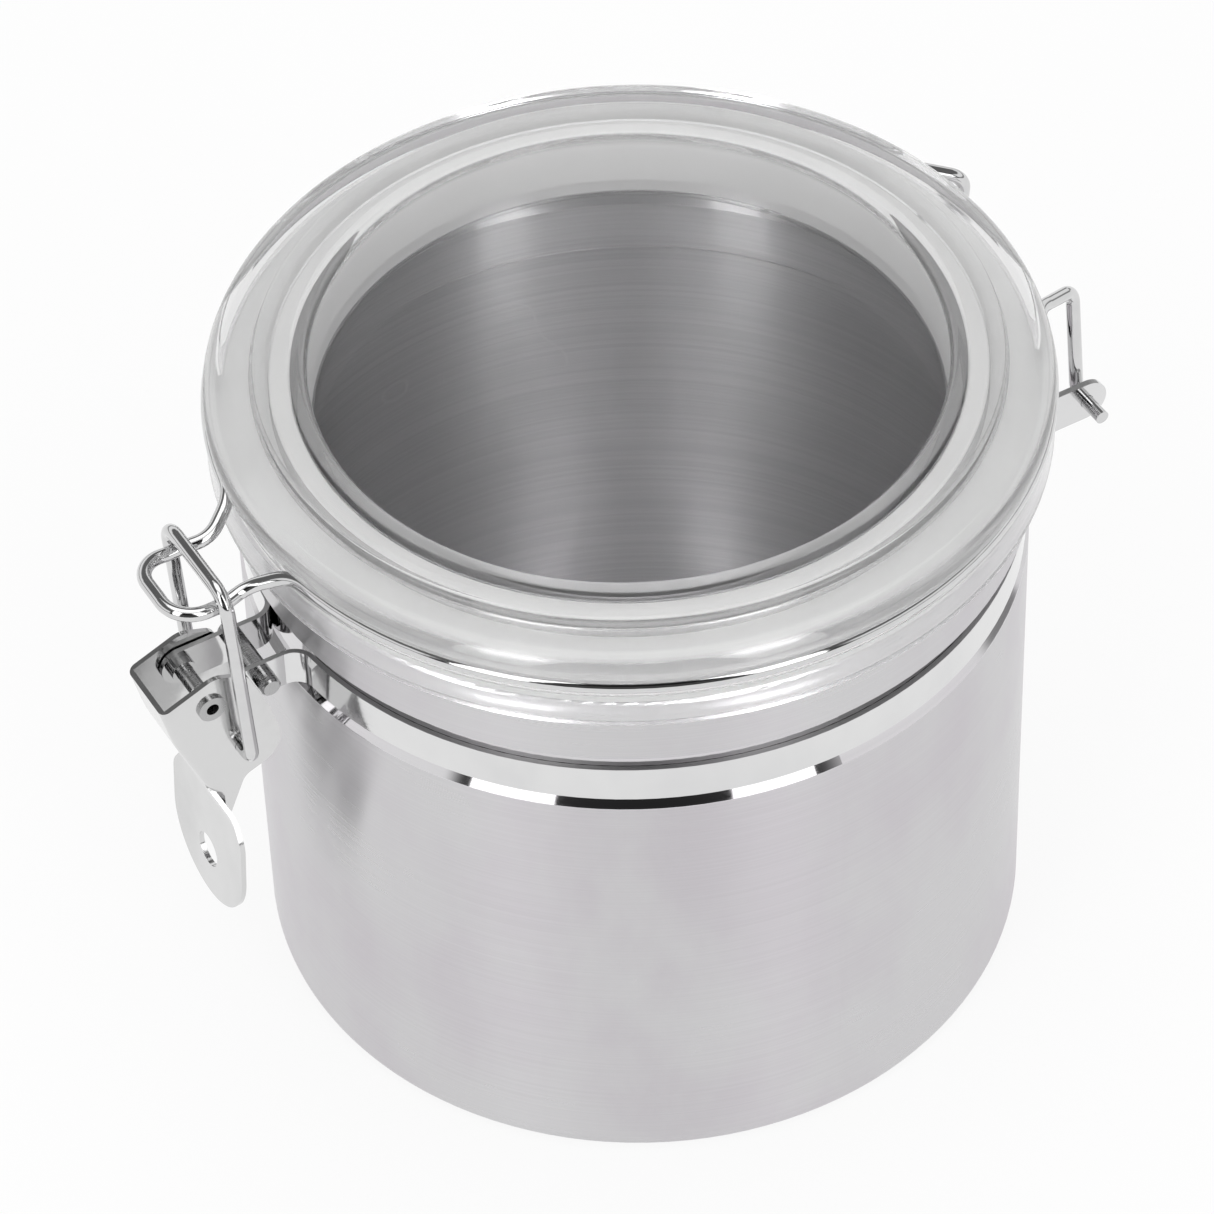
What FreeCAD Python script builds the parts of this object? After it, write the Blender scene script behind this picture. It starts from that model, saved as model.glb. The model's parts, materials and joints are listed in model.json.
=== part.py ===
import FreeCAD, Part
import math
import os

# Food canister: a drawn steel drum with a clear hinged lid, a wire that holds the lid, and a toggle
# latch. Millimetres, +Z up, origin at the centre of the base's underside. The latch is at -Y and
# the hinge at +Y, and every pivot axis runs along X.

# Fits
running_clearance = 0.05
press_clearance = 0.02

# Drum: straight wall, sloped shoulder, groove for the band, neck with a folded rim
body_radius = 60.0
body_wall = 0.6
base_corner_radius = 2.5
wall_height = 78.4
shoulder_rise = 1.4
groove_depth = 1.2
neck_flare = 1.6
neck_flare_rise = 0.9
neck_height = 13.0
hem_width = 1.4
hem_height = 2.2
hem_crown_flat = 0.02

# Band in the drum's groove, its two ends bent out at the front as ears
band_height = 6.2
band_thickness = 0.8
band_seat_clearance = 0.05
band_lower_gap = 0.4
band_upper_gap = 2.3
ear_spacing = 7.8
ear_bend_radius = 3.4
burr_radius = 2.0
burr_length = 1.4

# Pin through both ears
tie_pin_radius = 1.6
tie_pin_overhang = 2.6
tie_pin_reach = 6.1
tie_pin_rise = 0.25
tie_pin_chamfer = 0.3

# Hinge bracket on the back of the band
bracket_height = 7.0
bracket_thickness = 1.0
bracket_seat_clearance = 0.05
bracket_bend_radius = 2.0
bracket_side_clearance = 0.05
hinge_reach = 9.25
hinge_rise = 0.9

# Lid, from its skirt inwards
skirt_clearance = 0.5
skirt_thickness = 2.4
skirt_drop = 3.1
skirt_edge_radius = 0.4
flange_edge_radius = 3.2
lid_rise = 10.9
lid_step = 1.6
lid_step_inset = 7.1
lid_step_slope = 0.5
lid_step_radius = 0.4
lid_crest_radius = 0.8
seat_width = 7.5
crown_thickness = 3.4
plug_inset = 10.2
plug_wall = 2.7
recess_depth = 11.7
panel_thickness = 2.4
plug_edge_radius = 1.2
recess_edge_radius = 1.4
recess_corner_radius = 0.5

# Seal under the lid
gasket_thickness = 1.7
gasket_clearance = 0.1
gasket_side_gap = 0.4
gasket_root_gap = 0.1
gasket_edge_radius = 0.5

# Wire: ring in the lid's groove, two hinge legs with feet, and the nose that the bail holds
wire_radius = 1.1
wire_rise = 4.6
wire_groove_clearance = 0.06
wire_proud = 0.35
leg_spacing = 30.1
leg_drop = 3.8
foot_spacing = 34.6
foot_overhang = 4.2
leg_bend_radius = 3.2
foot_bend_radius = 1.9
leg_exit_spacing = 44.0
leg_exit_run = 3.0
nose_exit_spacing = 25.0
nose_exit_run = 3.0
exit_notch_clearance = 0.25
nose_neck_width = 11.6
nose_neck = 4.8
nose_neck_drop = 2.6
nose_width = 13.4
nose_slope = 4.3
nose_saddle = 2.8
nose_saddle_drop = 3.2
nose_tip = 5.0
nose_tip_rise = 0.6
nose_bend_radius = 5.0
nose_corner_radius = 4.5

# Lever: pressed channel with two side plates, and a paddle; places are counted from its pivot
sheet = 0.8
lever_side_clearance = 0.25
lever_reach = 15.4
web_reach = 7.85
web_top = 2.05
web_bow_reach = 6.05
web_bow_drop = 6.05
web_bow_radius = 30.0
knee_inset = 0.25
knee_drop = 22.55
knee_radius = 6.0
paddle_drop = 45.25
paddle_reach = 1.1
paddle_width = 22.0
paddle_shoulder_drop = 26.5
paddle_shoulder_radius = 5.0
paddle_neck_drop = 16.5
paddle_neck_radius = 6.0
paddle_hole_radius = 2.9
paddle_hole_rise = 8.9
channel_bend_radius = 1.4
crest_inset = 1.0
crest_top = 5.4
crest_radius = 3.5
back_pin_clearance = 1.6
back_top = 3.4
back_radius = 2.5
lobe_back_drop = 4.5
lobe_back_radius = 6.0
lobe_inset = 11.6
lobe_drop = 14.6
lobe_radius = 5.0
waist_inset = 4.25
waist_drop = 17.2
waist_radius = 2.5
plate_foot_drop = 3.0

# Hollow rivet, the lever's pivot
rivet_radius = 1.3
rivet_bore_radius = 1.0
rivet_head_radius = 2.2
rivet_head_height = 0.55

# Bail: its feet turn in the lever's lobes and its bar hooks over the nose
bail_wire_radius = 1.1
bail_nose_clearance = 0.35
bail_bar_gap = 1.4
bail_bar_reach = 10.0
bail_corner_radius = 3.4
bail_foot_bend_radius = 2.2
bail_pivot_inset = 4.25
bail_pivot_drop = 10.55
bail_foot_overhang = 0.35

# Levels and places that follow from the sizes above
groove_radius = body_radius - groove_depth
neck_radius = groove_radius + neck_flare
groove_bottom = wall_height + shoulder_rise
band_bottom = groove_bottom + band_lower_gap
band_top = band_bottom + band_height
band_middle = (band_bottom + band_top) / 2
groove_top = band_top + band_upper_gap
neck_bottom = groove_top + neck_flare_rise
rim_level = neck_bottom + neck_height
band_inner_radius = groove_radius + band_seat_clearance
band_outer_radius = band_inner_radius + band_thickness
ear_inner_x = ear_spacing / 2
ear_outer_x = ear_inner_x + band_thickness
tie_pin_y = -(band_outer_radius + tie_pin_reach)
tie_pin_z = band_middle + tie_pin_rise
hinge_y = band_outer_radius + hinge_reach
hinge_z = band_middle + hinge_rise
bracket_inner_x = foot_spacing / 2 + foot_bend_radius + bracket_side_clearance
bracket_outer_x = bracket_inner_x + bracket_thickness
skirt_inner_radius = neck_radius + skirt_clearance
skirt_outer_radius = skirt_inner_radius + skirt_thickness
plug_radius = neck_radius - plug_inset
seat_level = rim_level + gasket_clearance + gasket_thickness
wire_level = rim_level + wire_rise
wire_ring_radius = skirt_outer_radius + wire_proud - wire_radius
saddle_level = wire_level - nose_saddle_drop
pivot_y = -(band_outer_radius + lever_reach)
pivot_z = band_middle
plate_inner_x = ear_outer_x + lever_side_clearance
plate_outer_x = plate_inner_x + sheet
bail_pivot_y = pivot_y + bail_pivot_inset
bail_pivot_z = pivot_z - bail_pivot_drop


def point(x, y, z):
    return FreeCAD.Vector(x, y, z)


def rounded_edges(corners, closed):
    """Straight runs from corner to corner, each corner rounded by its own radius."""
    runs = []
    for index, (corner, radius) in enumerate(corners):
        if radius == 0:
            runs.append((corner, None, corner))
            continue
        back = (corners[index - 1][0] - corner).normalize()
        onward = (corners[(index + 1) % len(corners)][0] - corner).normalize()
        half_angle = back.getAngle(onward) / 2
        tangent = radius / math.tan(half_angle)
        depth = radius / math.sin(half_angle) - radius
        middle = corner + (back + onward).normalize() * depth
        runs.append((corner + back * tangent, middle, corner + onward * tangent))
    edges = []
    for index, (arrive, middle, leave) in enumerate(runs):
        if middle is not None:
            edges.append(Part.Arc(arrive, middle, leave).toShape())
        if index + 1 < len(runs) or closed:
            following = runs[(index + 1) % len(runs)][0]
            if leave.distanceToPoint(following) > 1e-6:
                edges.append(Part.LineSegment(leave, following).toShape())
    return edges


def face_of(corners):
    return Part.Face(Part.Wire(rounded_edges(corners, True)))


def revolved(profile):
    """Solid of revolution about Z from (radius, height, rounding) rows."""
    corners = [(point(radius, 0, height), rounding) for radius, height, rounding in profile]
    return face_of(corners).revolve(point(0, 0, 0), point(0, 0, 1), 360)


def plate_square_to_x(profile, x_from, x_to):
    """Plate from (y, z, rounding) rows."""
    corners = [(point(x_from, y, z), rounding) for y, z, rounding in profile]
    return face_of(corners).extrude(point(x_to - x_from, 0, 0))


def rod_along_x(y, z, radius, x_from, x_to):
    return Part.makeCylinder(radius, x_to - x_from, point(x_from, y, z), point(1, 0, 0))


def mirrored(shape):
    return shape.mirror(point(0, 0, 0), point(1, 0, 0))


def bent_wire(edges, radius):
    """Round wire along edges that join end to end, the first edge at one of its ends."""
    spine = Part.Wire(Part.__sortEdges__(edges))
    end = edges[0]
    section = Part.makeCircle(radius, end.valueAt(end.FirstParameter), end.tangentAt(end.FirstParameter))
    wire = spine.makePipeShell([Part.Wire(section)], True, False)
    print("wire of %.1f mm, volume over section times length %.4f"
          % (spine.Length, wire.Volume / (math.pi * radius ** 2 * spine.Length)))
    return wire


def bend_out(ring_radius, line_x, bend_radius, outside):
    """Centre of the bend between a ring and a line along Y at line_x; outside: the ring lies beyond it."""
    bend_x = line_x + bend_radius if outside else line_x - bend_radius
    return bend_x, math.sqrt((ring_radius + bend_radius) ** 2 - bend_x ** 2)


def arc_about(centre, start, end, radius):
    middle = centre + ((start - centre) + (end - centre)).normalize() * radius
    return Part.Arc(start, middle, end).toShape()


def half_strip(inner_radius, thickness, ear_x, bend_radius, ear_end, toward, outside):
    """Right half of a strip, seen from above, that follows a ring and turns out into a straight ear.

    toward is the ear's direction along Y. outside: the ring goes round the back, beyond the ears;
    otherwise it only spans the space between them."""
    middle_radius = inner_radius + thickness / 2
    bend_x, bend_y = bend_out(middle_radius, ear_x + thickness / 2, bend_radius, outside)
    bend_centre = point(bend_x, toward * bend_y, 0)
    ring_side = -toward if outside else toward
    edges = []
    starts = []
    tips = []
    for side in (-1, 1):
        ring = middle_radius + side * thickness / 2
        bend = bend_radius - side * thickness / 2
        start = point(0, ring_side * ring, 0)
        touch = bend_centre * (ring / (middle_radius + bend_radius))
        touch = bend_centre + (touch - bend_centre).normalize() * bend
        leave = point(bend_x - bend if outside else bend_x + bend, toward * bend_y, 0)
        tip = point(leave.x, toward * ear_end, 0)
        edges.append(arc_about(point(0, 0, 0), start, touch, ring))
        edges.append(arc_about(bend_centre, touch, leave, bend))
        edges.append(Part.LineSegment(leave, tip).toShape())
        starts.append(start)
        tips.append(tip)
    edges.append(Part.LineSegment(*starts).toShape())
    edges.append(Part.LineSegment(*tips).toShape())
    return Part.Face(Part.Wire(Part.__sortEdges__(edges)))


def strip_with_round_ears(plan, bottom, height, pivot_along_y, toward):
    """Strip of a given plan and height whose ear ends in a half round about its pivot."""
    strip = plan.extrude(point(0, 0, height))
    strip.translate(point(0, 0, bottom))
    reach = 2 * (abs(pivot_along_y) + height)
    far = pivot_along_y - toward * reach
    keep = Part.makeBox(reach, reach, height, point(0, min(far, pivot_along_y), bottom))
    keep = keep.fuse(rod_along_x(pivot_along_y, bottom + height / 2, height / 2, 0, reach))
    return strip.common(keep)


def make_canister_body():
    inner = body_radius - body_wall
    groove_inner = groove_radius - body_wall
    neck_inner = neck_radius - body_wall
    hem_inner = neck_radius - hem_width
    hem_bottom = rim_level - hem_height
    hem_round = (hem_width - hem_crown_flat) / 2
    return revolved([
        (0, 0, 0),
        (body_radius, 0, base_corner_radius),
        (body_radius, wall_height, 0),
        (groove_radius, groove_bottom, 0),
        (groove_radius, groove_top, 0),
        (neck_radius, neck_bottom, 0),
        (neck_radius, rim_level, hem_round),
        (hem_inner, rim_level, hem_round),
        (hem_inner, hem_bottom, 0),
        (neck_inner, hem_bottom, 0),
        (neck_inner, neck_bottom, 0),
        (groove_inner, groove_top, 0),
        (groove_inner, groove_bottom, 0),
        (inner, wall_height, 0),
        (inner, body_wall, base_corner_radius - body_wall),
        (0, body_wall, 0),
    ])


def make_neck_band():
    ear_end = -pivot_y + band_height
    plan = half_strip(band_inner_radius, band_thickness, ear_inner_x, ear_bend_radius, ear_end, -1, True)
    half = strip_with_round_ears(plan, band_bottom, band_height, pivot_y, -1)
    half = half.fuse(rod_along_x(pivot_y, pivot_z, burr_radius, ear_inner_x - burr_length, ear_outer_x))
    half = half.cut(rod_along_x(pivot_y, pivot_z, rivet_radius + running_clearance, 0, plate_outer_x))
    half = half.cut(rod_along_x(tie_pin_y, tie_pin_z, tie_pin_radius + press_clearance, 0, plate_outer_x))
    return half.fuse(mirrored(half))


def make_band_tie_pin():
    half_length = ear_outer_x + tie_pin_overhang
    pin = rod_along_x(tie_pin_y, tie_pin_z, tie_pin_radius, -half_length, half_length)
    end_rims = [edge for edge in pin.Edges if edge.BoundBox.XLength < tie_pin_chamfer]
    return pin.makeChamfer(tie_pin_chamfer, end_rims)


def make_hinge_bracket():
    inner_radius = band_outer_radius + bracket_seat_clearance
    ear_end = hinge_y + bracket_height
    plan = half_strip(
        inner_radius, bracket_thickness, bracket_inner_x, bracket_bend_radius, ear_end, 1, False)
    half = strip_with_round_ears(plan, hinge_z - bracket_height / 2, bracket_height, hinge_y, 1)
    half = half.cut(rod_along_x(hinge_y, hinge_z, wire_radius + running_clearance, 0, 2 * bracket_outer_x))
    return half.fuse(mirrored(half))


def make_lid():
    top = rim_level + lid_rise
    step = top - lid_step
    panel_top = top - recess_depth
    panel_bottom = panel_top - panel_thickness
    crown = top - crown_thickness
    seat_radius = skirt_inner_radius - seat_width
    skirt_bottom = rim_level - skirt_drop
    groove_half = wire_radius + wire_groove_clearance
    groove_floor = wire_ring_radius - groove_half
    step_radius = skirt_outer_radius - lid_step_inset
    recess_radius = plug_radius - plug_wall
    lid = revolved([
        (0, panel_bottom, 0),
        (plug_radius, panel_bottom, plug_edge_radius),
        (plug_radius, crown, 0),
        (seat_radius, crown, 0),
        (seat_radius, seat_level, 0),
        (skirt_inner_radius, seat_level, 0),
        (skirt_inner_radius, skirt_bottom, skirt_edge_radius),
        (skirt_outer_radius, skirt_bottom, skirt_edge_radius),
        (skirt_outer_radius, wire_level - groove_half, 0),
        (groove_floor, wire_level - groove_half, groove_half),
        (groove_floor, wire_level + groove_half, groove_half),
        (skirt_outer_radius, wire_level + groove_half, 0),
        (skirt_outer_radius, step, flange_edge_radius),
        (step_radius, step, lid_step_radius),
        (step_radius - lid_step_slope, top, lid_crest_radius),
        (recess_radius, top, recess_edge_radius),
        (recess_radius, panel_top, recess_corner_radius),
        (0, panel_top, 0),
    ])
    notches = [bent_wire(edges, wire_radius + exit_notch_clearance) for edges in (leg_edges(), nose_edges())]
    return lid.cut(notches + [mirrored(notch) for notch in notches])


def make_lid_gasket():
    bottom = rim_level + gasket_clearance
    outer = skirt_inner_radius - gasket_side_gap
    root_inner = plug_radius + gasket_root_gap
    root_outer = skirt_inner_radius - seat_width - gasket_root_gap
    root_top = rim_level + lid_rise - crown_thickness - gasket_root_gap
    return revolved([
        (root_inner, bottom, gasket_edge_radius),
        (outer, bottom, gasket_edge_radius),
        (outer, seat_level, 0),
        (root_outer, seat_level, 0),
        (root_outer, root_top, gasket_edge_radius),
        (root_inner, root_top, gasket_edge_radius),
    ])


def ring_exit(spacing, run, toward, target):
    """Bend with which the wire leaves its ring, on the right, for a target at the front or the back.

    toward is the exit's direction along Y. Gives the bend's corner, its radius and the ring's end."""
    ring_x = spacing / 2
    ring_y = math.sqrt(wire_ring_radius ** 2 - ring_x ** 2)
    ring_end = point(ring_x, toward * ring_y, wire_level)
    along_ring = point(-ring_y, toward * ring_x, 0).normalize()
    corner = ring_end + along_ring * run
    turn = along_ring.getAngle(target - corner)
    return corner, run / math.tan(turn / 2), ring_end


def leg_edges():
    """Right half of the wire's back end, from the foot up the leg and over to the ring."""
    leg_top = point(leg_spacing / 2, hinge_y, wire_level - leg_drop)
    exit_corner, exit_radius, ring_end = ring_exit(leg_exit_spacing, leg_exit_run, 1, leg_top)
    return rounded_edges([
        (point(bracket_outer_x + foot_overhang, hinge_y, hinge_z), 0),
        (point(foot_spacing / 2, hinge_y, hinge_z), foot_bend_radius),
        (leg_top, leg_bend_radius),
        (exit_corner, exit_radius),
        (ring_end, 0),
    ], False)


def nose_edges():
    """Right half of the nose, from the middle of its tip back over the saddle and to the ring."""
    nose_x = nose_width / 2
    neck_y = -(wire_ring_radius + nose_neck)
    saddle_start_y = neck_y - nose_slope
    saddle_end_y = saddle_start_y - nose_saddle
    tip_y = saddle_end_y - nose_tip
    tip_level = saddle_level + nose_tip_rise
    neck = point(nose_neck_width / 2, neck_y, wire_level - nose_neck_drop)
    exit_corner, exit_radius, ring_end = ring_exit(nose_exit_spacing, nose_exit_run, -1, neck)
    return rounded_edges([
        (point(0, tip_y, tip_level), 0),
        (point(nose_x, tip_y, tip_level), nose_corner_radius),
        (point(nose_x, saddle_end_y, saddle_level), nose_bend_radius),
        (point(nose_x, saddle_start_y, saddle_level), nose_bend_radius),
        (neck, nose_bend_radius),
        (exit_corner, exit_radius),
        (ring_end, 0),
    ], False)


def make_lid_wire():
    legs = leg_edges()
    nose = nose_edges()
    leg_ring_end = legs[-1].valueAt(legs[-1].LastParameter)
    nose_ring_end = nose[-1].valueAt(nose[-1].LastParameter)
    ring = arc_about(point(0, 0, wire_level), leg_ring_end, nose_ring_end, wire_ring_radius)
    edges = legs + [ring] + nose
    return bent_wire(edges + [mirrored(edge) for edge in edges], wire_radius)


def make_latch_lever():
    web_outside = [
        (pivot_y - web_reach, pivot_z + web_top, 0),
        (pivot_y - web_bow_reach, pivot_z - web_bow_drop, web_bow_radius),
    ]
    knee = (pivot_y + knee_inset, pivot_z - knee_drop, knee_radius)
    paddle_end = (pivot_y - paddle_reach, pivot_z - paddle_drop, 0)
    strip_outside = web_outside + [knee, paddle_end]
    strip_inside = [(y + sheet, z, rounding) for y, z, rounding in reversed(strip_outside)]
    half_width = paddle_width / 2
    strip = plate_square_to_x(strip_outside + strip_inside, -half_width, half_width)

    neck_x = plate_outer_x - channel_bend_radius
    right_side = [
        (neck_x, web_top, 0),
        (neck_x, -paddle_neck_drop, paddle_neck_radius),
        (half_width, -paddle_shoulder_drop, paddle_shoulder_radius),
        (half_width, -paddle_drop, half_width),
    ]
    left_side = [(-x, z, rounding) for x, z, rounding in reversed(right_side)]
    front = face_of([(point(x, 0, pivot_z + z), rounding) for x, z, rounding in right_side + left_side])
    depth = 2 * (web_reach + lobe_inset)
    front.translate(point(0, pivot_y - depth / 2, 0))
    strip = strip.common(front.extrude(point(0, depth, 0)))

    back_inset = lever_reach - tie_pin_reach - tie_pin_radius - back_pin_clearance
    web_fall = knee_drop - web_bow_drop
    foot_y = knee[0] - (knee_inset + web_bow_reach) * knee_radius / web_fall
    side = web_outside + [
        (foot_y, knee[1] + knee_radius, 0),
        (knee[0] + sheet / 2, knee[1], 0),
        (knee[0] + sheet / 2, knee[1] - plate_foot_drop, 0),
        (pivot_y + waist_inset, pivot_z - waist_drop, waist_radius),
        (pivot_y + lobe_inset, pivot_z - lobe_drop, lobe_radius),
        (tie_pin_y, pivot_z - lobe_back_drop, lobe_back_radius),
        (pivot_y + back_inset, pivot_z + back_top, back_radius),
        (pivot_y + crest_inset, pivot_z + crest_top, crest_radius),
    ]
    channel = plate_square_to_x(side, -plate_outer_x, plate_outer_x)
    web_corners = [
        edge for edge in channel.Edges
        if edge.BoundBox.XLength < 1e-6 and edge.CenterOfMass.y < pivot_y + knee_inset
        and edge.CenterOfMass.z < pivot_z + web_top and edge.BoundBox.ZLength > sheet
        and edge.CenterOfMass.z > knee[1] + knee_radius
    ]
    channel = channel.makeFillet(channel_bend_radius, web_corners)
    hollow = [(y + sheet, z, rounding) for y, z, rounding in strip_outside]
    hollow[0] = (hollow[0][0] - (web_reach - web_bow_reach), hollow[0][1] + web_top + web_bow_drop, 0)
    hollow += [(pivot_y + depth, hollow[-1][1], 0), (pivot_y + depth, hollow[0][1], 0)]
    channel = channel.cut(plate_square_to_x(hollow, -plate_inner_x, plate_inner_x))

    lever = channel.fuse(strip)
    lever = lever.cut(rod_along_x(pivot_y, pivot_z, rivet_radius + press_clearance, -depth, depth))
    bail_hole = bail_wire_radius + running_clearance
    lever = lever.cut(rod_along_x(bail_pivot_y, bail_pivot_z, bail_hole, -depth, depth))
    hole_start = point(0, pivot_y - depth / 2, pivot_z - paddle_drop + paddle_hole_rise)
    return lever.cut(Part.makeCylinder(paddle_hole_radius, depth, hole_start, point(0, 1, 0)))


def make_lever_rivet():
    end_x = plate_outer_x + rivet_head_height
    rivet = rod_along_x(pivot_y, pivot_z, rivet_radius, -end_x, end_x)
    head = rod_along_x(pivot_y, pivot_z, rivet_head_radius, plate_outer_x, end_x)
    rivet = rivet.fuse([head, mirrored(head)])
    return rivet.cut(rod_along_x(pivot_y, pivot_z, rivet_bore_radius, -end_x, end_x))


def make_latch_bail():
    leg_x = nose_width / 2 + wire_radius + bail_nose_clearance + bail_wire_radius
    bar_y = -(wire_ring_radius + bail_bar_reach)
    bar_z = saddle_level + wire_radius + bail_wire_radius + bail_bar_gap
    edges = rounded_edges([
        (point(plate_inner_x - bail_foot_overhang, bail_pivot_y, bail_pivot_z), 0),
        (point(leg_x, bail_pivot_y, bail_pivot_z), bail_foot_bend_radius),
        (point(leg_x, bar_y, bar_z), bail_corner_radius),
        (point(0, bar_y, bar_z), 0),
    ], False)
    return bent_wire(edges + [mirrored(edge) for edge in edges], bail_wire_radius)


def save(shape, name):
    shape = shape.removeSplitter()
    assert shape.isValid() and len(shape.Solids) == 1, name
    shape.Solids[0].exportStep("parts/%s.step" % name)
    print("%-14s %10.1f mm3" % (name, shape.Volume))


os.makedirs("parts", exist_ok=True)
save(make_canister_body(), "canister_body")
save(make_neck_band(), "neck_band")
save(make_band_tie_pin(), "band_tie_pin")
save(make_hinge_bracket(), "hinge_bracket")
save(make_lid(), "lid")
save(make_lid_gasket(), "lid_gasket")
save(make_lid_wire(), "lid_wire")
save(make_latch_lever(), "latch_lever")
save(make_lever_rivet(), "lever_rivet")
save(make_latch_bail(), "latch_bail")
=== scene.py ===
import json
import math

import bpy
from mathutils import Matrix, Vector

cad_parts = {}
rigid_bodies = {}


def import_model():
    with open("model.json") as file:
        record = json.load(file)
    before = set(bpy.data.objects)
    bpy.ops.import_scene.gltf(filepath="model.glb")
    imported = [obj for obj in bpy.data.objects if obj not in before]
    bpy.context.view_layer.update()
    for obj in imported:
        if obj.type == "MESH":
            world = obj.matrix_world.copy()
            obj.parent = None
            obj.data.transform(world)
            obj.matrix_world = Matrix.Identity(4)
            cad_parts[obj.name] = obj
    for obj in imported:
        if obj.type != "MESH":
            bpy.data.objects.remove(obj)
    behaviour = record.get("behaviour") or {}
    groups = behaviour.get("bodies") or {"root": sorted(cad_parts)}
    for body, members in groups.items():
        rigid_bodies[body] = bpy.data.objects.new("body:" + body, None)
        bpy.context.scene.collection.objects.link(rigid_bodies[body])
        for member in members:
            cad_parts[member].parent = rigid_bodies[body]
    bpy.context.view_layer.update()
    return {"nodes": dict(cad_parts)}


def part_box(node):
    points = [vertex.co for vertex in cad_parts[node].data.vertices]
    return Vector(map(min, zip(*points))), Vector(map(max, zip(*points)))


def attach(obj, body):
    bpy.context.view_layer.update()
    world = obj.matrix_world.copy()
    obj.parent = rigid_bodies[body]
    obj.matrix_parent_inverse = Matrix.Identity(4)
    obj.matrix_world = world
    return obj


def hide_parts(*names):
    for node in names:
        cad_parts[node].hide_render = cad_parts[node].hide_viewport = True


for leftover in list(bpy.data.objects):
    bpy.data.objects.remove(leftover)
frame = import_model()

# The camera stands above the latch's right-hand side and looks down at the lid.
# It is a long lens, so the drum's sides run almost parallel.
frame_pixels = 1214
focal_pixels = 5734
sensor_width = 36.0
near_limit = 0.01
far_limit = 20
latch_bearing = -90
turn_from_latch = 61.2
camera_distance = 0.885
camera_elevation = math.radians(45.9)
camera_azimuth = math.radians(latch_bearing + turn_from_latch)
camera_roll = math.radians(-2.11)
aim_height = 0.060
aim_pixel = (636.1, 600.6)

toward_camera = Vector((
    math.cos(camera_azimuth) * math.cos(camera_elevation),
    math.sin(camera_azimuth) * math.cos(camera_elevation),
    math.sin(camera_elevation),
))
level_right = Vector((-math.sin(camera_azimuth), math.cos(camera_azimuth), 0))
level_up = toward_camera.cross(level_right)
view_right = level_right * math.cos(camera_roll) + level_up * math.sin(camera_roll)
view_up = level_up * math.cos(camera_roll) - level_right * math.sin(camera_roll)
aside = (aim_pixel[0] - frame_pixels / 2) / focal_pixels * camera_distance
above = (frame_pixels / 2 - aim_pixel[1]) / focal_pixels * camera_distance
camera_place = Vector((0, 0, aim_height)) + toward_camera * camera_distance
camera_place -= view_right * aside + view_up * above

camera = bpy.data.objects.new("camera", bpy.data.cameras.new("camera"))
camera.data.sensor_width = sensor_width
camera.data.sensor_fit = "HORIZONTAL"
camera.data.lens = focal_pixels / frame_pixels * sensor_width
camera.data.clip_start = near_limit
camera.data.clip_end = far_limit
camera.matrix_world = Matrix([
    (view_right[row], view_up[row], toward_camera[row], camera_place[row]) for row in range(3)
] + [(0, 0, 0, 1)])
bpy.context.scene.collection.objects.link(camera)
bpy.context.scene.camera = camera
bpy.context.scene.view_settings.view_transform = "Standard"


# The floor is a plain white sheet that keeps a faint shadow of the drum.
# Metal and clear plastic see the same white as the camera does.
def add(nodes, kind, settings=None, **inputs):
    node = nodes.new(kind)
    for name, value in (settings or {}).items():
        setattr(node, name, value)
    for name, value in inputs.items():
        node.inputs[name.replace("_", " ")].default_value = value
    return node


def feed(tree, value, socket):
    if isinstance(value, (int, float)):
        socket.default_value = value
    else:
        tree.links.new(value, socket)


def calculate(tree, operation, first, *others):
    result = first
    for other in others or (None,):
        node = add(tree.nodes, "ShaderNodeMath", {"operation": operation})
        feed(tree, result, node.inputs[0])
        if other is not None:
            feed(tree, other, node.inputs[1])
        result = node.outputs[0]
    return result


floor_reach = 4.0
floor_gap = 0.0002
floor_corners = ((-1, -1), (1, -1), (1, 1), (-1, 1))
paper_tone = (0.88, 0.88, 0.88, 1)
paper_glow = 0.85
white = (1, 1, 1, 1)

floor_mesh = bpy.data.meshes.new("floor")
floor_mesh.from_pydata(
    [(x * floor_reach, y * floor_reach, -floor_gap) for x, y in floor_corners], [], [(0, 1, 2, 3)])
floor = bpy.data.objects.new("floor", floor_mesh)
bpy.context.scene.collection.objects.link(floor)
floor_paper = bpy.data.materials.new("floor_paper")
floor_paper.use_nodes = True
paper = floor_paper.node_tree
paper.nodes.clear()
paper_seen = add(paper.nodes, "ShaderNodeLightPath").outputs
paper_white = add(paper.nodes, "ShaderNodeEmission", Color=white, Strength=1.0)
paper_shade = add(paper.nodes, "ShaderNodeBsdfDiffuse", Color=paper_tone)
paper_blend = add(paper.nodes, "ShaderNodeMixShader")
paper_out = add(paper.nodes, "ShaderNodeOutputMaterial")
seen = calculate(
    paper, "MAXIMUM",
    paper_seen["Is Camera Ray"], paper_seen["Is Glossy Ray"], paper_seen["Is Transmission Ray"])
paper.links.new(calculate(paper, "MULTIPLY", seen, paper_glow), paper_blend.inputs[0])
paper.links.new(paper_shade.outputs[0], paper_blend.inputs[1])
paper.links.new(paper_white.outputs[0], paper_blend.inputs[2])
paper.links.new(paper_blend.outputs[0], paper_out.inputs["Surface"])
floor_mesh.materials.append(floor_paper)


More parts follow.
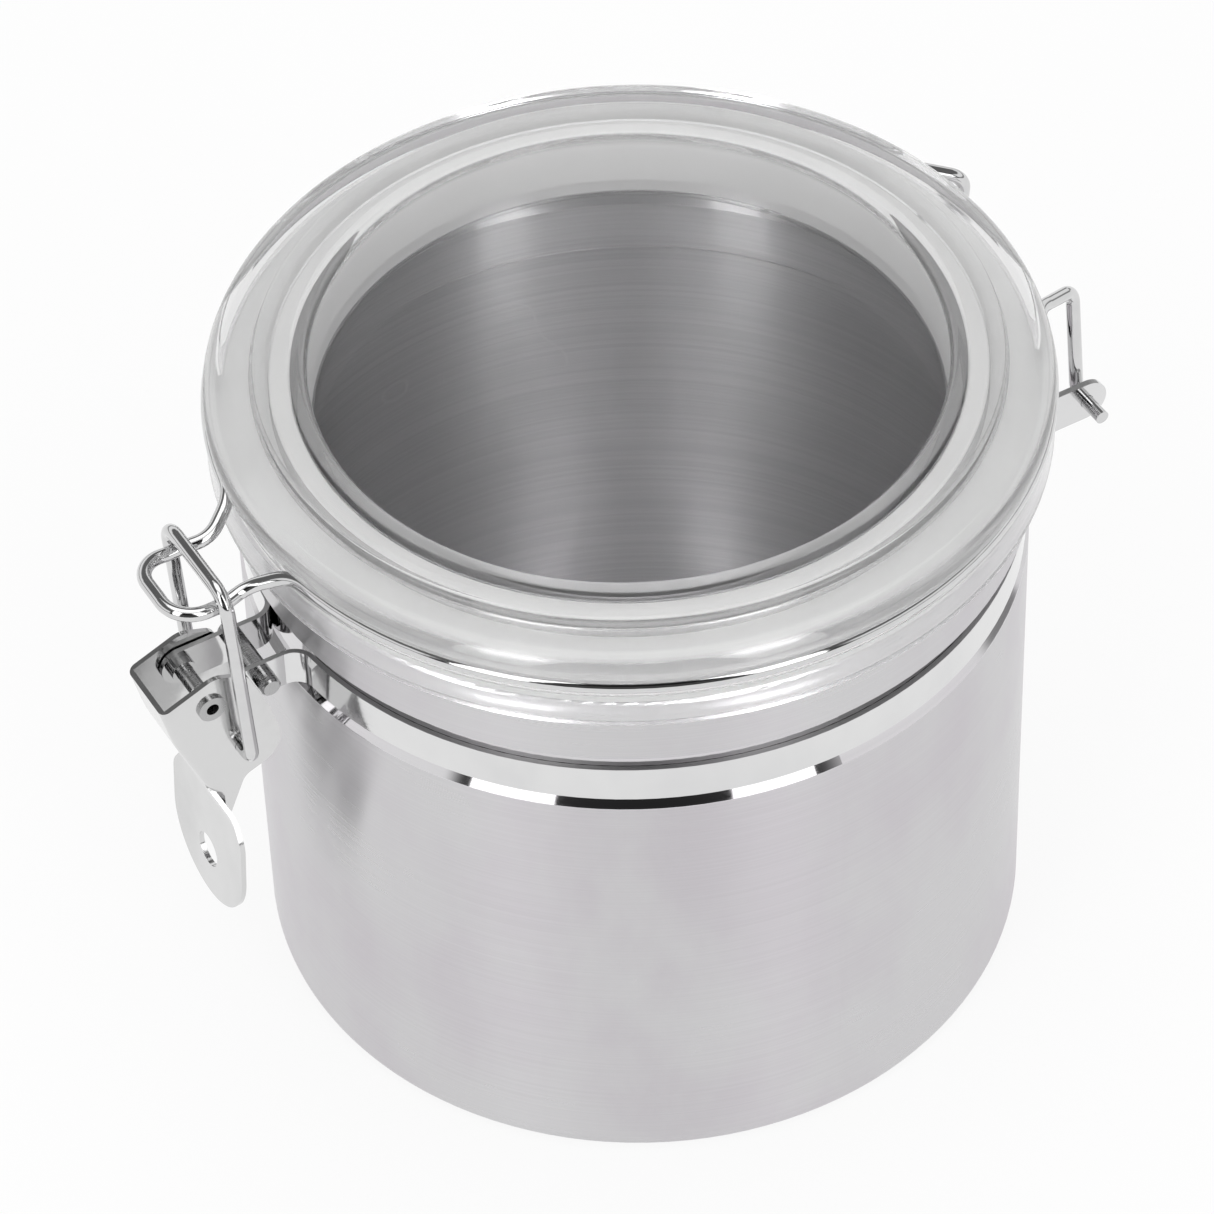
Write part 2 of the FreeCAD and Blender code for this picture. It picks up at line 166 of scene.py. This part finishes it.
# The studio round it: a white backdrop behind, a dark room behind the camera, white overhead.
# Two upright softboxes stand left and right of the camera, and a square one hangs above.
# Light that comes through the lid is set apart, by how many of its faces the light has passed.
def spread(tree, value, start, end, to_start, to_end):
    node = add(tree.nodes, "ShaderNodeMapRange", {"interpolation_type": "SMOOTHSTEP"})
    feed(tree, value, node.inputs["Value"])
    feed(tree, start, node.inputs["From Min"])
    feed(tree, end, node.inputs["From Max"])
    feed(tree, to_start, node.inputs["To Min"])
    feed(tree, to_end, node.inputs["To Max"])
    return node.outputs["Result"]


backdrop_side = (0.60, 0.68)
room_shade = 0.08
overhead_rise = (0.86, 0.92)
fold_foot = (0.03, 0.05)
fold_top = (0.16, 0.20)
fold_shade = 0.30
backdrop_top = (0.46, 0.58)
top_shade = 0.15
least_reach = 0.001
no_face_passed = 0.5
two_faces_passed = 2.5
box_bearing = 0.83
box_edge = (0.02, 0.10)
box_strength = 16.0
inside_strength = 1.25
one_bounce = 0.5
lid_bounce_strength = 0.45
fill_strength = 0.6

world = bpy.data.worlds.new("studio")
bpy.context.scene.world = world
world.use_nodes = True
studio = world.node_tree
studio.nodes.clear()
look = add(studio.nodes, "ShaderNodeTexCoord")
compass = add(studio.nodes, "ShaderNodeSeparateXYZ")
studio.links.new(look.outputs["Generated"], compass.inputs[0])
rise = compass.outputs["Z"]
camera_side = calculate(
    studio, "ADD",
    calculate(studio, "MULTIPLY", compass.outputs["X"], math.cos(camera_azimuth)),
    calculate(studio, "MULTIPLY", compass.outputs["Y"], math.sin(camera_azimuth)))
level_reach = calculate(
    studio, "SQRT", calculate(studio, "SUBTRACT", 1.0, calculate(studio, "MULTIPLY", rise, rise)))
camera_bearing = calculate(
    studio, "DIVIDE", camera_side, calculate(studio, "MAXIMUM", level_reach, least_reach))

fold = calculate(
    studio, "MAXIMUM",
    spread(studio, rise, *fold_foot, 1.0, fold_shade),
    spread(studio, rise, *fold_top, fold_shade, 1.0))
backdrop = calculate(
    studio, "MULTIPLY",
    spread(studio, camera_bearing, *backdrop_side, 1.0, room_shade), fold,
    spread(studio, rise, *backdrop_top, 1.0, top_shade))
overhead = spread(studio, rise, *overhead_rise, 0.0, 1.0)

studio_path = add(studio.nodes, "ShaderNodeLightPath").outputs
faces_passed = studio_path["Transmission Depth"]
in_lid = calculate(
    studio, "MULTIPLY",
    calculate(studio, "GREATER_THAN", faces_passed, no_face_passed),
    calculate(studio, "LESS_THAN", faces_passed, two_faces_passed))
is_inside = calculate(studio, "GREATER_THAN", faces_passed, two_faces_passed)
box_offset = calculate(studio, "ABSOLUTE", calculate(studio, "SUBTRACT", camera_bearing, box_bearing))
from_inside = calculate(
    studio, "MULTIPLY", is_inside, spread(studio, box_offset, *box_edge, box_strength, inside_strength))
outside_lid = calculate(studio, "SUBTRACT", 1.0, calculate(studio, "MAXIMUM", is_inside, in_lid))
room = calculate(studio, "MULTIPLY", calculate(studio, "MAXIMUM", backdrop, overhead), outside_lid)
bounced = calculate(studio, "GREATER_THAN", studio_path["Glossy Depth"], one_bounce)
lid_white = calculate(studio, "MULTIPLY", in_lid, spread(studio, bounced, 0, 1, 1.0, lid_bounce_strength))
soft_fill = calculate(studio, "MULTIPLY", studio_path["Is Diffuse Ray"], fill_strength)
level = calculate(
    studio, "MAXIMUM", studio_path["Is Camera Ray"], lid_white, soft_fill, room, from_inside)
surround = add(studio.nodes, "ShaderNodeBackground", Color=white)
studio.links.new(level, surround.inputs["Strength"])
studio_out = add(studio.nodes, "ShaderNodeOutputWorld")
studio.links.new(surround.outputs[0], studio_out.inputs["Surface"])

box_distance = 1.5
softboxes = (
    ("softbox_left", -34, 33, 0.50, 1.60, 5.5),
    ("softbox_right", 34, 33, 0.50, 1.60, 5.5),
    ("softbox_above", 180, 80, 1.20, 1.20, 4.0),
)
for name, turn, elevation, width, height, power in softboxes:
    azimuth = camera_azimuth + math.radians(turn)
    tilt = math.radians(elevation)
    way = Vector((math.cos(azimuth) * math.cos(tilt), math.sin(azimuth) * math.cos(tilt), math.sin(tilt)))
    lamp = bpy.data.lights.new(name, "AREA")
    lamp.shape = "RECTANGLE"
    lamp.size = width
    lamp.size_y = height
    lamp.energy = power
    softbox = bpy.data.objects.new(name, lamp)
    softbox.location = Vector((0, 0, aim_height)) + way * box_distance
    softbox.rotation_euler = way.to_track_quat("Z", "Y").to_euler()
    bpy.context.scene.collection.objects.link(softbox)


# The drum is drawn from one sheet of stainless steel and brushed round its axis while it turns.
# The brushing leaves fine level lines, so lights stretch into soft upright zones.
# The shoulder and the groove for the band are polished. The inside is left duller, and its colour is set
# darker as painted shade for the drum's dim inside.
def group_of(name, inputs, outputs):
    tree = bpy.data.node_groups.new(name, "ShaderNodeTree")
    for label, value in inputs.items():
        socket = tree.interface.new_socket(label, in_out="INPUT", socket_type="NodeSocketFloat")
        socket.default_value = value
    for label in outputs:
        tree.interface.new_socket(label, in_out="OUTPUT", socket_type="NodeSocketFloat")
    return tree, tree.nodes.new("NodeGroupInput").outputs, tree.nodes.new("NodeGroupOutput").inputs


def stretched_noise(tree, stretch, detail, roughness=0.5, shift=0.0):
    place = add(tree.nodes, "ShaderNodeTexCoord")
    scale = add(tree.nodes, "ShaderNodeVectorMath", {"operation": "MULTIPLY_ADD"})
    scale.inputs[1].default_value = stretch
    scale.inputs[2].default_value = (shift, shift, shift)
    tree.links.new(place.outputs["Object"], scale.inputs[0])
    noise = add(tree.nodes, "ShaderNodeTexNoise", Scale=1.0, Detail=detail, Roughness=roughness)
    tree.links.new(scale.outputs[0], noise.inputs["Vector"])
    return noise.outputs["Fac"]


line_contrast = (0.32, 0.68)
fine_share = 0.6
broad_share = 0.4
brushing, brushing_in, brushing_out = group_of(
    "round_brushing", {"Smooth": 0.27, "Rough": 0.32}, ("Lines", "Height", "Roughness"))
fine_lines = stretched_noise(brushing, stretch=(12, 12, 4200), detail=2)
broad_lines = stretched_noise(brushing, stretch=(7, 7, 1300), detail=2, shift=7.0)
both_lines = calculate(
    brushing, "ADD",
    calculate(brushing, "MULTIPLY", fine_lines, fine_share),
    calculate(brushing, "MULTIPLY", broad_lines, broad_share))
clear_lines = spread(brushing, both_lines, *line_contrast, 0.0, 1.0)
brushing.links.new(clear_lines, brushing_out["Lines"])
brushing.links.new(both_lines, brushing_out["Height"])
brushing.links.new(
    spread(brushing, clear_lines, 0, 1, brushing_in["Smooth"], brushing_in["Rough"]),
    brushing_out["Roughness"])

contour_level = 0.5
scratch_edge = (0.0006, 0.0022)
break_edge = (0.56, 0.64)
smear_edge = (0.38, 0.70)
marks, marks_in, marks_out = group_of(
    "handling_marks", {"Dulling": 0.05}, ("Scratches", "Smears", "Dulling"))
contour = stretched_noise(marks, stretch=(26, 26, 34), detail=1, roughness=0.4, shift=3.0)
off_contour = calculate(marks, "ABSOLUTE", calculate(marks, "SUBTRACT", contour, contour_level))
thin_curve = spread(marks, off_contour, *scratch_edge, 1.0, 0.0)
breaks = stretched_noise(marks, stretch=(60, 60, 60), detail=1, shift=11.0)
scratch = calculate(marks, "MULTIPLY", thin_curve, spread(marks, breaks, *break_edge, 0.0, 1.0))
wiped = stretched_noise(marks, stretch=(38, 38, 22), detail=4, roughness=0.6, shift=19.0)
smear = spread(marks, wiped, *smear_edge, 0.0, 1.0)
marks.links.new(scratch, marks_out["Scratches"])
marks.links.new(smear, marks_out["Smears"])
marks.links.new(calculate(marks, "MULTIPLY", smear, marks_in["Dulling"]), marks_out["Dulling"])


def place_group(tree, group, **values):
    node = add(tree.nodes, "ShaderNodeGroup", {"node_tree": group}, **values)
    return node.outputs


def surface_of(name):
    material = bpy.data.materials.new(name)
    material.use_nodes = True
    tree = material.node_tree
    return material, tree, tree.nodes["Principled BSDF"]


def tinted(tree, mask, low, high):
    node = add(tree.nodes, "ShaderNodeMix", {"data_type": "RGBA"})
    tree.links.new(mask, node.inputs["Factor"])
    node.inputs["A"].default_value = (*low, 1)
    node.inputs["B"].default_value = (*high, 1)
    return node.outputs["Result"]


def stained(tree, colour, stain):
    node = add(tree.nodes, "ShaderNodeMix", {"data_type": "RGBA", "blend_type": "MULTIPLY"}, Factor=1.0)
    tree.links.new(colour, node.inputs["A"])
    tree.links.new(stain, node.inputs["B"])
    return node.outputs["Result"]


def scratched(tree, height, scratches, depth):
    return calculate(tree, "SUBTRACT", height, calculate(tree, "MULTIPLY", scratches, depth))


def bumped(tree, height, shader, strength, distance):
    node = add(tree.nodes, "ShaderNodeBump", Strength=strength, Distance=distance)
    tree.links.new(height, node.inputs["Height"])
    tree.links.new(node.outputs["Normal"], shader.inputs["Normal"])


def object_axes(tree):
    place = add(tree.nodes, "ShaderNodeTexCoord")
    axes = add(tree.nodes, "ShaderNodeSeparateXYZ")
    tree.links.new(place.outputs["Object"], axes.inputs[0])
    return axes.outputs


def dress(node_name, material):
    piece = frame["nodes"][node_name]
    piece.data.materials.clear()
    piece.data.materials.append(material)


drum_dark = (0.630, 0.630, 0.634)
drum_light = (0.670, 0.670, 0.675)
clean_tint = (1.0, 0.99, 1.0)
handled_tint = (0.985, 0.945, 0.985)
polish_start = (0.0782, 0.0784)
polish_end = (0.0884, 0.0890)
polish_share = 0.20
scratch_depth = 1.5
line_strength = 0.03
drum_line_depth = 0.00004
# Painted shade: the inside gets a darker copy of the steel's colour, standing in for the shade inside the
# drum.
inside_painted_shade_dark = (0.53, 0.525, 0.532)
inside_painted_shade_light = (0.60, 0.595, 0.602)
faces_axis = -0.01

brushed_steel, tree, shader = surface_of("brushed_drum_steel")
shader.inputs["Metallic"].default_value = 1.0
shader.inputs["Anisotropic"].default_value = 0.88
shader.inputs["Anisotropic Rotation"].default_value = 0.25
round_axis = add(tree.nodes, "ShaderNodeTangent", {"direction_type": "RADIAL", "axis": "Z"})
tree.links.new(round_axis.outputs[0], shader.inputs["Tangent"])
lines = place_group(tree, brushing, Smooth=0.27, Rough=0.32)
wear = place_group(tree, marks, Dulling=0.05)
drum_stain = tinted(tree, wear["Smears"], clean_tint, handled_tint)
tree.links.new(
    stained(tree, tinted(tree, lines["Lines"], drum_dark, drum_light), drum_stain),
    shader.inputs["Base Color"])
drum_height = object_axes(tree)["Z"]
unpolished = calculate(
    tree, "MAXIMUM",
    spread(tree, drum_height, *polish_start, 1.0, polish_share),
    spread(tree, drum_height, *polish_end, polish_share, 1.0))
drum_dull = calculate(tree, "ADD", lines["Roughness"], wear["Dulling"])
tree.links.new(calculate(tree, "MULTIPLY", drum_dull, unpolished), shader.inputs["Roughness"])
drum_relief = scratched(tree, lines["Height"], wear["Scratches"], scratch_depth)
bumped(tree, drum_relief, shader, line_strength, drum_line_depth)

inner_shader = add(
    tree.nodes, "ShaderNodeBsdfPrincipled", Metallic=1.0, Anisotropic=1.0, Anisotropic_Rotation=0.25)
tree.links.new(round_axis.outputs[0], inner_shader.inputs["Tangent"])
inner_lines = place_group(tree, brushing, Smooth=0.40, Rough=0.44)
scored = calculate(tree, "ADD", inner_lines["Lines"], wear["Scratches"])
# The inside's darker colour is painted shade, not a different steel.
tree.links.new(tinted(tree, scored, inside_painted_shade_dark, inside_painted_shade_light), inner_shader.inputs["Base Color"])
tree.links.new(inner_lines["Roughness"], inner_shader.inputs["Roughness"])
bumped(tree, drum_relief, inner_shader, line_strength, drum_line_depth)
drum_side = add(tree.nodes, "ShaderNodeNewGeometry")
from_axis = add(tree.nodes, "ShaderNodeVectorMath", {"operation": "MULTIPLY"})
tree.links.new(drum_side.outputs["Position"], from_axis.inputs[0])
from_axis.inputs[1].default_value = (1, 1, 0)
outward = add(tree.nodes, "ShaderNodeVectorMath", {"operation": "DOT_PRODUCT"})
tree.links.new(from_axis.outputs[0], outward.inputs[0])
tree.links.new(drum_side.outputs["True Normal"], outward.inputs[1])
either_side = add(tree.nodes, "ShaderNodeMixShader")
tree.links.new(calculate(tree, "LESS_THAN", outward.outputs["Value"], faces_axis), either_side.inputs[0])
tree.links.new(shader.outputs[0], either_side.inputs[1])
tree.links.new(inner_shader.outputs[0], either_side.inputs[2])
tree.links.new(either_side.outputs[0], tree.nodes["Material Output"].inputs["Surface"])
dress("canister_body", brushed_steel)

# The band is a bright strip of stainless steel drawn tight in the drum's groove by the tie pin.
# The hinge bracket is cut from the same strip and spot-welded to the band at the back.
# The strip's cut edges, which face up and down, are left dull, and their colour is darkened: partly the
# duller cut steel, partly painted shade for the narrow gaps beside the band.
strip_clean = (0.74, 0.74, 0.74)
strip_smeared = (0.68, 0.68, 0.685)
face_tint = (1.0, 1.0, 1.0)
# Painted shade in part: the cut edges' darker tint also stands in for the shade in the gaps beside the band.
edge_painted_shade_tint = (0.55, 0.55, 0.55)
edge_slope = 0.8
edge_dulling = 0.35
strip_line_depth = 0.00008

polished_steel, tree, shader = surface_of("polished_strip_steel")
shader.inputs["Metallic"].default_value = 1.0
lines = place_group(tree, brushing, Smooth=0.05, Rough=0.09)
wear = place_group(tree, marks, Dulling=0.05)
strip_side = add(tree.nodes, "ShaderNodeNewGeometry")
strip_normal = add(tree.nodes, "ShaderNodeSeparateXYZ")
tree.links.new(strip_side.outputs["True Normal"], strip_normal.inputs[0])
cut_edge = calculate(
    tree, "GREATER_THAN", calculate(tree, "ABSOLUTE", strip_normal.outputs["Z"]), edge_slope)
strip_face = tinted(tree, wear["Smears"], strip_clean, strip_smeared)
# Up- and down-facing cut edges are darkened: partly duller steel, partly painted shade.
edge_shade = tinted(tree, cut_edge, face_tint, edge_painted_shade_tint)
tree.links.new(stained(tree, strip_face, edge_shade), shader.inputs["Base Color"])
tree.links.new(
    calculate(
        tree, "ADD", lines["Roughness"], wear["Dulling"],
        calculate(tree, "MULTIPLY", cut_edge, edge_dulling)),
    shader.inputs["Roughness"])
bumped(tree, lines["Height"], shader, line_strength, strip_line_depth)
dress("neck_band", polished_steel)
dress("hinge_bracket", polished_steel)

# The tie pin and the hollow rivet are plain turned steel, greyer than the pressed pieces.
# Turning leaves rings along their length, which runs from side to side.
pin_dark = (0.40, 0.40, 0.405)
pin_light = (0.55, 0.55, 0.55)
pin_roughness = (0.20, 0.34)
noise_span = (0.3, 0.7)

turned_steel, tree, shader = surface_of("turned_pin_steel")
shader.inputs["Metallic"].default_value = 1.0
rings = stretched_noise(tree, stretch=(4200, 120, 120), detail=2, roughness=0.6)
tree.links.new(tinted(tree, rings, pin_dark, pin_light), shader.inputs["Base Color"])
tree.links.new(spread(tree, rings, *noise_span, *pin_roughness), shader.inputs["Roughness"])
bumped(tree, rings, shader, strength=0.08, distance=0.0001)
dress("band_tie_pin", turned_steel)
dress("lever_rivet", turned_steel)

# The lid is one moulding of clear acrylic: skirt, groove for the wire, raised ring, deep recess.
# It is polished in the mould, with faint rub marks where it has been wiped and a haze on its walls.
# It is turned again here in fine steps, because coarse facets would show in the refraction.
acrylic_tint = (0.835, 0.835, 0.837, 1)
haze_tint = (0.88, 0.88, 0.882, 1)
shadow_pass = (0.965, 0.965, 0.965, 1)
under_start = (0.0478, 0.0490)
under_top = (0.1102, 0.1108)
under_dulling = 0.12
wall_start = (0.0473, 0.0475)
wall_end = (0.0481, 0.0485)
wall_foot = (0.1019, 0.1026)
wall_lip = (0.1118, 0.1130)
wall_haze = 0.62
lip_haze = 0.10
far_side_share = 0.45
plug_start = (0.0478, 0.0482)
plug_end = (0.0500, 0.0506)
plug_top = (0.1118, 0.1126)
plug_haze = 0.24
flange_start = (0.0532, 0.0540)
flange_haze = 0.09

clear_acrylic, tree, shader = surface_of("clear_lid_acrylic")
shader.inputs["Base Color"].default_value = acrylic_tint
shader.inputs["Transmission Weight"].default_value = 1.0
shader.inputs["IOR"].default_value = 1.49
wear = place_group(tree, marks, Dulling=0.02)
lid_axes = object_axes(tree)
lid_flat = add(tree.nodes, "ShaderNodeCombineXYZ")
tree.links.new(lid_axes["X"], lid_flat.inputs["X"])
tree.links.new(lid_axes["Y"], lid_flat.inputs["Y"])
lid_reach = add(tree.nodes, "ShaderNodeVectorMath", {"operation": "LENGTH"})
tree.links.new(lid_flat.outputs[0], lid_reach.inputs[0])
lid_radius = lid_reach.outputs["Value"]
lid_height = lid_axes["Z"]
undersides = calculate(
    tree, "MULTIPLY",
    spread(tree, lid_radius, *under_start, 0.0, 1.0), spread(tree, lid_height, *under_top, 1.0, 0.0))
tree.links.new(
    calculate(tree, "ADD", wear["Dulling"], calculate(tree, "MULTIPLY", undersides, under_dulling)),
    shader.inputs["Roughness"])
wave = stretched_noise(tree, stretch=(45, 45, 45), detail=1, roughness=0.4, shift=5.0)
bumped(tree, wave, shader, strength=0.02, distance=0.0005)

lid_side = add(tree.nodes, "ShaderNodeNewGeometry")
recess_haze = calculate(
    tree, "MULTIPLY",
    spread(tree, lid_radius, *wall_start, 0.0, 1.0), spread(tree, lid_radius, *wall_end, 1.0, 0.0),
    spread(tree, lid_height, *wall_foot, 0.0, 1.0), spread(tree, lid_height, *wall_lip, wall_haze, lip_haze),
    spread(tree, lid_side.outputs["Backfacing"], 0, 1, 1.0, far_side_share))
plug_edge_haze = calculate(
    tree, "MULTIPLY",
    spread(tree, lid_radius, *plug_start, 0.0, plug_haze), spread(tree, lid_radius, *plug_end, 1.0, 0.0),
    spread(tree, lid_height, *plug_top, 0.0, 1.0))
outer_haze = spread(tree, lid_radius, *flange_start, 0.0, flange_haze)
lid_milk = add(tree.nodes, "ShaderNodeBsdfDiffuse", Color=haze_tint)
lid_hazed = add(tree.nodes, "ShaderNodeMixShader")
tree.links.new(
    calculate(tree, "MAXIMUM", recess_haze, plug_edge_haze, outer_haze), lid_hazed.inputs[0])
tree.links.new(shader.outputs[0], lid_hazed.inputs[1])
tree.links.new(lid_milk.outputs[0], lid_hazed.inputs[2])
lid_path = add(tree.nodes, "ShaderNodeLightPath").outputs
lid_passes = add(tree.nodes, "ShaderNodeBsdfTransparent", Color=shadow_pass)
lid_either = add(tree.nodes, "ShaderNodeMixShader")
tree.links.new(
    calculate(tree, "MAXIMUM", lid_path["Is Shadow Ray"], lid_path["Is Diffuse Ray"]), lid_either.inputs[0])
tree.links.new(lid_hazed.outputs[0], lid_either.inputs[1])
tree.links.new(lid_passes.outputs[0], lid_either.inputs[2])
tree.links.new(lid_either.outputs[0], tree.nodes["Material Output"].inputs["Surface"])


def rounded(corners, arc_steps):
    outline = []
    for index, (radius, height, rounding) in enumerate(corners):
        here = Vector((radius, height))
        if not rounding:
            outline.append(here)
            continue
        before = (Vector(corners[index - 1][:2]) - here).normalized()
        after = (Vector(corners[index + 1][:2]) - here).normalized()
        half = before.angle(after) / 2
        centre = here + (before + after).normalized() * (rounding / math.sin(half))
        start = here + before * (rounding / math.tan(half)) - centre
        end = here + after * (rounding / math.tan(half)) - centre
        first = math.atan2(start.y, start.x)
        sweep = math.remainder(math.atan2(end.y, end.x) - first, 2 * math.pi)
        for step in range(arc_steps + 1):
            angle = first + sweep * step / arc_steps
            outline.append(centre + Vector((math.cos(angle), math.sin(angle))) * rounding)
    return outline


def smooth_piece(name, points, faces):
    mesh = bpy.data.meshes.new(name)
    mesh.from_pydata(points, [], faces)
    mesh.polygons.foreach_set("use_smooth", [True] * len(faces))
    piece = bpy.data.objects.new(name, mesh)
    bpy.context.scene.collection.objects.link(piece)
    return piece


def turned_solid(name, outline, steps):
    inner = outline[1:-1]
    points = [(0, 0, outline[0].y), (0, 0, outline[-1].y)]
    for step in range(steps):
        angle = 2 * math.pi * step / steps
        points += [(spot.x * math.cos(angle), spot.x * math.sin(angle), spot.y) for spot in inner]
    faces = []
    for step in range(steps):
        here = 2 + step * len(inner)
        there = 2 + (step + 1) % steps * len(inner)
        faces.append((0, there, here))
        faces += [
            (here + row, there + row, there + row + 1, here + row + 1) for row in range(len(inner) - 1)]
        faces.append((here + len(inner) - 1, there + len(inner) - 1, 1))
    return smooth_piece(name, points, faces)


lid_low, lid_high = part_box("lid")
lid_top = lid_high.z
crown_thickness = 0.0034
recess_depth = 0.0117
step_drop = 0.0016
step_lean = 0.0005
skirt_bottom = 0.0995
skirt_inner = 0.0609
skirt_outer = 0.0633
seat_height = 0.1044
seat_inner = 0.0534
crown_under = lid_top - crown_thickness
plug_outer = 0.0502
recess_inner = 0.0475
panel_top = lid_top - recess_depth
panel_under = lid_low.z
wire_height = 0.1072
groove_half = 0.00116
groove_floor = 0.06139
step_height = lid_top - step_drop
step_outer = 0.0562
plug_round = 0.0012
skirt_round = 0.0004
groove_round = groove_half * 0.999
shoulder_round = 0.0032
step_round = 0.0004
crown_round = 0.0008
lip_round = 0.0014
recess_round = 0.0005
lid_arc_steps = 9
lid_turn_steps = 420
sharp_angle = math.radians(32)
lid_moulding = turned_solid("lid_moulding", rounded([
    (0, panel_under, 0),
    (plug_outer, panel_under, plug_round),
    (plug_outer, crown_under, 0),
    (seat_inner, crown_under, 0),
    (seat_inner, seat_height, 0),
    (skirt_inner, seat_height, 0),
    (skirt_inner, skirt_bottom, skirt_round),
    (skirt_outer, skirt_bottom, skirt_round),
    (skirt_outer, wire_height - groove_half, 0),
    (groove_floor, wire_height - groove_half, groove_round),
    (groove_floor, wire_height + groove_half, groove_round),
    (skirt_outer, wire_height + groove_half, 0),
    (skirt_outer, step_height, shoulder_round),
    (step_outer, step_height, step_round),
    (step_outer - step_lean, lid_top, crown_round),
    (recess_inner, lid_top, lip_round),
    (recess_inner, panel_top, recess_round),
    (0, panel_top, 0),
], lid_arc_steps), lid_turn_steps)
lid_moulding.data.set_sharp_from_angle(angle=sharp_angle)
lid_moulding.data.materials.append(clear_acrylic)
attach(lid_moulding, "lid_assembly")
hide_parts("lid")

# The seal is a ring of pale silicone rubber that sits under the lid and rests on the drum's rim.
# Its root grips the lid's plug, and its edges are rounded by the mould.
# It lets some light through and has the dull bloom that silicone takes.
seal_grey = (0.58, 0.58, 0.58)
seal_pale = (0.66, 0.66, 0.655)
seal_roughness = (0.42, 0.6)

pale_silicone, tree, shader = surface_of("pale_seal_silicone")
shader.inputs["Subsurface Weight"].default_value = 0.35
shader.inputs["Subsurface Radius"].default_value = (0.002, 0.002, 0.002)
bloom = stretched_noise(tree, stretch=(90, 90, 140), detail=4, roughness=0.6)
tree.links.new(tinted(tree, bloom, seal_grey, seal_pale), shader.inputs["Base Color"])
tree.links.new(spread(tree, bloom, *noise_span, *seal_roughness), shader.inputs["Roughness"])
bumped(tree, bloom, shader, strength=0.10, distance=0.0002)


def turned_ring(name, profile, steps):
    corners = len(profile)
    points = []
    for step in range(steps):
        angle = 2 * math.pi * step / steps
        points += [(radius * math.cos(angle), radius * math.sin(angle), height) for radius, height in profile]
    faces = []
    for step in range(steps):
        here, there = step * corners, (step + 1) % steps * corners
        faces += [
            (here + row, there + row, there + (row + 1) % corners, here + (row + 1) % corners)
            for row in range(corners)
        ]
    return smooth_piece(name, points, faces)


seal_low, seal_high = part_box("lid_gasket")
seal_outer = seal_high.x
seal_root_inner = 0.0503
seal_root_outer = 0.0533
seal_round = 0.00045
seal_thickness = 0.0017
seal_film = 0.00006
seal_shelf = seal_low.z + seal_thickness - seal_film
quarter_steps = 4
seal_turn_steps = 192
seal_profile = []
for corner_r, corner_z, start in (
    (seal_outer - seal_round, seal_low.z + seal_round, -90),
    (seal_outer - seal_round, seal_shelf - seal_round, 0),
    (seal_root_outer, seal_shelf, None),
    (seal_root_outer - seal_round, seal_high.z - seal_round, 0),
    (seal_root_inner + seal_round, seal_high.z - seal_round, 90),
    (seal_root_inner + seal_round, seal_low.z + seal_round, 180),
):
    if start is None:
        seal_profile.append((corner_r, corner_z))
        continue
    for step in range(quarter_steps + 1):
        angle = math.radians(start + 90 / quarter_steps * step)
        seal_profile.append(
            (corner_r + seal_round * math.cos(angle), corner_z + seal_round * math.sin(angle)))
seal = turned_ring("lid_seal", seal_profile, seal_turn_steps)
seal.data.materials.append(pale_silicone)
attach(seal, "lid_assembly")
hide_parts("lid_gasket")

# The lid wire and the bail are bent from bright drawn steel wire of one gauge.
# Drawing leaves a near mirror with long faint ripples.
wire_dark = (0.60, 0.60, 0.605)
wire_light = (0.70, 0.70, 0.70)
wire_roughness = (0.04, 0.08)

bright_wire, tree, shader = surface_of("bright_drawn_wire")
shader.inputs["Metallic"].default_value = 1.0
wear = place_group(tree, marks, Dulling=0.04)
ripple = stretched_noise(tree, stretch=(320, 320, 320), detail=3, roughness=0.55)
tree.links.new(tinted(tree, ripple, wire_dark, wire_light), shader.inputs["Base Color"])
tree.links.new(
    calculate(tree, "ADD", spread(tree, ripple, *noise_span, *wire_roughness), wear["Dulling"]),
    shader.inputs["Roughness"])
bumped(tree, ripple, shader, strength=0.05, distance=0.0003)
dress("lid_wire", bright_wire)
dress("latch_bail", bright_wire)

# The lever is pressed from bright steel sheet: a channel with two side plates and a thumb paddle.
# The faces are tumbled to a satin polish, so they are a little softer than the wire.
lever_clean = (0.68, 0.68, 0.68)
lever_smeared = (0.60, 0.60, 0.60)
lever_roughness = (0.10, 0.17)

tumbled_sheet, tree, shader = surface_of("tumbled_lever_sheet")
shader.inputs["Metallic"].default_value = 1.0
wear = place_group(tree, marks, Dulling=0.05)
tumble = stretched_noise(tree, stretch=(700, 700, 700), detail=3, roughness=0.6)
tree.links.new(tinted(tree, wear["Smears"], lever_clean, lever_smeared), shader.inputs["Base Color"])
tree.links.new(
    calculate(tree, "ADD", spread(tree, tumble, *noise_span, *lever_roughness), wear["Dulling"]),
    shader.inputs["Roughness"])
lever_relief = scratched(tree, tumble, wear["Scratches"], scratch_depth)
bumped(tree, lever_relief, shader, strength=0.05, distance=0.0001)
dress("latch_lever", tumbled_sheet)
